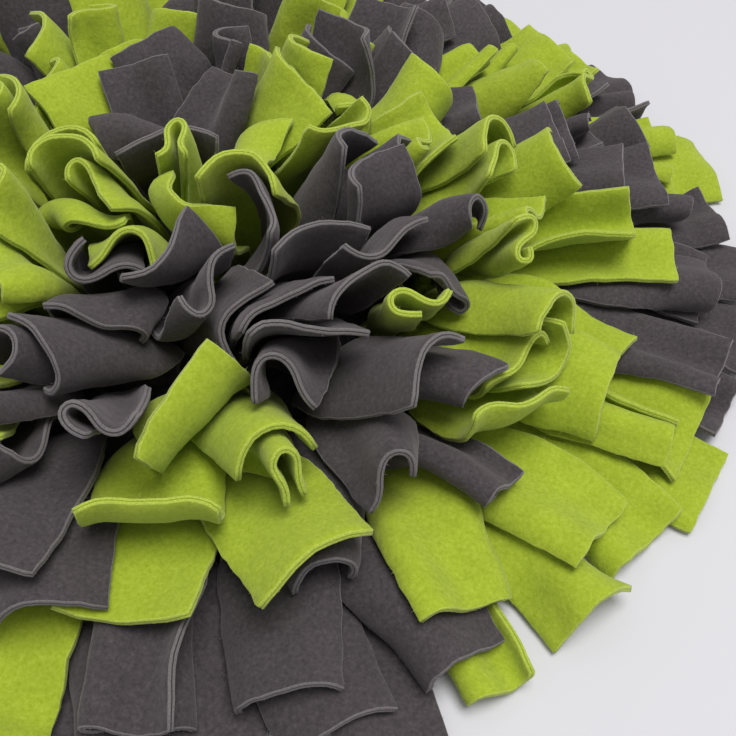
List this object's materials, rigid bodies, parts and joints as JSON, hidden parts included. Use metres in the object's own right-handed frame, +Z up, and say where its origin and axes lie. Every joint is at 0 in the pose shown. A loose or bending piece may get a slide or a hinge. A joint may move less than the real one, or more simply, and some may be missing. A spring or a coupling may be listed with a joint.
{
  "type": "snuffle mat",
  "caption": "Round pet foraging mat: a flat felt backing under a dense dome of upright and overlapping green and slate fleece flaps.",
  "frame": {"origin": "centre of the backing disc's underside, on the floor", "axes": "+Z up through the flaps, square to the backing; +X to the right and +Y away as the picture looks at the mat"},
  "size_m": [0.3869, 0.386, 0.0709],
  "materials": {
    "green_fleece": "matt brushed fleece, lime green",
    "slate_fleece": "matt brushed fleece, warm dark grey melange",
    "backing_felt": "matt thick felt, dark grey"
  },
  "bodies": {
    "root": {"backing": "backing_felt", "slate_bunch_00": "slate_fleece", "green_bunch_01": "green_fleece", "slate_bunch_02": "slate_fleece", "green_bunch_03": "green_fleece", "green_bunch_04": "green_fleece", "green_bunch_05": "green_fleece", "green_bunch_06": "green_fleece", "green_bunch_07": "green_fleece", "slate_bunch_08": "slate_fleece", "green_bunch_09": "green_fleece", "slate_bunch_10": "slate_fleece", "green_bunch_11": "green_fleece", "slate_bunch_12": "slate_fleece", "green_bunch_13": "green_fleece", "slate_bunch_14": "slate_fleece", "green_bunch_15": "green_fleece", "slate_bunch_16": "slate_fleece", "slate_bunch_17": "slate_fleece", "slate_bunch_18": "slate_fleece", "slate_bunch_19": "slate_fleece", "green_bunch_20": "green_fleece", "slate_bunch_21": "slate_fleece", "green_bunch_22": "green_fleece", "green_bunch_23": "green_fleece", "slate_bunch_24": "slate_fleece", "green_bunch_25": "green_fleece", "slate_bunch_26": "slate_fleece", "green_bunch_27": "green_fleece", "slate_bunch_28": "slate_fleece", "green_bunch_29": "green_fleece", "green_bunch_30": "green_fleece", "slate_bunch_31": "slate_fleece", "green_bunch_32": "green_fleece", "slate_bunch_33": "slate_fleece", "green_bunch_34": "green_fleece", "green_bunch_35": "green_fleece", "slate_bunch_36": "slate_fleece", "green_bunch_37": "green_fleece", "slate_bunch_38": "slate_fleece", "green_bunch_39": "green_fleece", "green_bunch_40": "green_fleece", "slate_bunch_41": "slate_fleece", "green_bunch_42": "green_fleece", "green_bunch_43": "green_fleece", "slate_bunch_44": "slate_fleece", "green_bunch_45": "green_fleece", "slate_bunch_46": "slate_fleece", "green_bunch_47": "green_fleece", "green_bunch_48": "green_fleece", "slate_bunch_49": "slate_fleece", "green_bunch_50": "green_fleece", "slate_bunch_51": "slate_fleece", "green_bunch_52": "green_fleece", "slate_bunch_53": "slate_fleece", "slate_bunch_54": "slate_fleece", "green_bunch_55": "green_fleece", "green_bunch_56": "green_fleece", "slate_bunch_57": "slate_fleece"}
  },
  "joints": []
}
